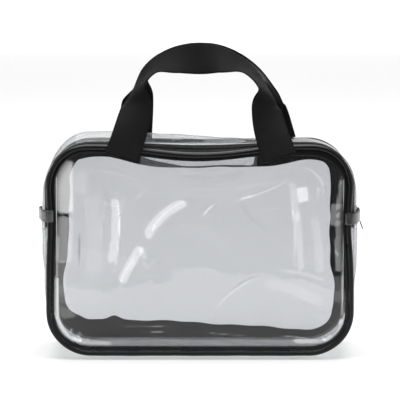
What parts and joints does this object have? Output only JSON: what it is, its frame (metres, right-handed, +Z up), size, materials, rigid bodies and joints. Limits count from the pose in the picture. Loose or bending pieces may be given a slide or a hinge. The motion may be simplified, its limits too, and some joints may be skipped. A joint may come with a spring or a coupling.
{
  "type": "makeup bag",
  "caption": "Clear PVC zip-top makeup bag with black piped seams, a coil zipper round the top, folded end tabs and black webbing handles.",
  "frame": {"origin": "middle of the flat underside, on the surface the bag stands on", "axes": "+X to the bag's right, +Y to its back, +Z up through the handles"},
  "size_m": [0.2504, 0.0934, 0.2408],
  "materials": {
    "clear_pvc": "clear flexible vinyl sheet, glossy, lightly creased",
    "black_pvc": "glossy black vinyl piping",
    "black_tape": "folded black binding tape",
    "zip_nylon": "black woven zipper tape",
    "zip_coil": "black nylon coil",
    "dark_metal": "black coated die-cast metal",
    "webbing": "fine twill-woven black webbing"
  },
  "bodies": {
    "bag": {"front_panel": "clear_pvc", "rear_panel": "clear_pvc", "front_piping": "black_pvc", "rear_piping": "black_pvc", "front_seam_binding": "black_tape", "rear_seam_binding": "black_tape", "zip_gusset_front": "clear_pvc", "zip_gusset_rear": "clear_pvc", "bottom_gusset": "clear_pvc", "zipper_tape_front": "zip_nylon", "zipper_tape_rear": "zip_nylon", "zipper_coil_front": "zip_coil", "zipper_coil_rear": "zip_coil", "zipper_stop_left": "dark_metal", "zipper_stop_right": "dark_metal", "end_tab_left": "clear_pvc", "end_tab_right": "clear_pvc"},
    "slider": {"zipper_slider": "dark_metal"},
    "puller": {"zipper_puller": "dark_metal"},
    "front_handle": {"front_handle": "webbing"},
    "rear_handle": {"rear_handle": "webbing"}
  },
  "joints": [
    {"name": "front_handle_swing", "type": "hinge", "parent": "bag", "child": "front_handle", "pos_m": [0, -0.0454, 0.155], "axis": [1, 0, 0], "range_deg": [0, 170]},
    {"name": "rear_handle_swing", "type": "hinge", "parent": "bag", "child": "rear_handle", "pos_m": [0, 0.0454, 0.157], "axis": [-1, 0, 0], "range_deg": [0, 170]},
    {"name": "slider_travel", "type": "slide", "parent": "bag", "child": "slider", "axis": [0, 0, 1], "range_m": [0, 0.0155]},
    {"name": "puller_swing", "type": "hinge", "parent": "slider", "child": "puller", "pos_m": [0.12235, 0, 0.1063], "axis": [0, -1, 0], "range_deg": [0, 120]}
  ]
}
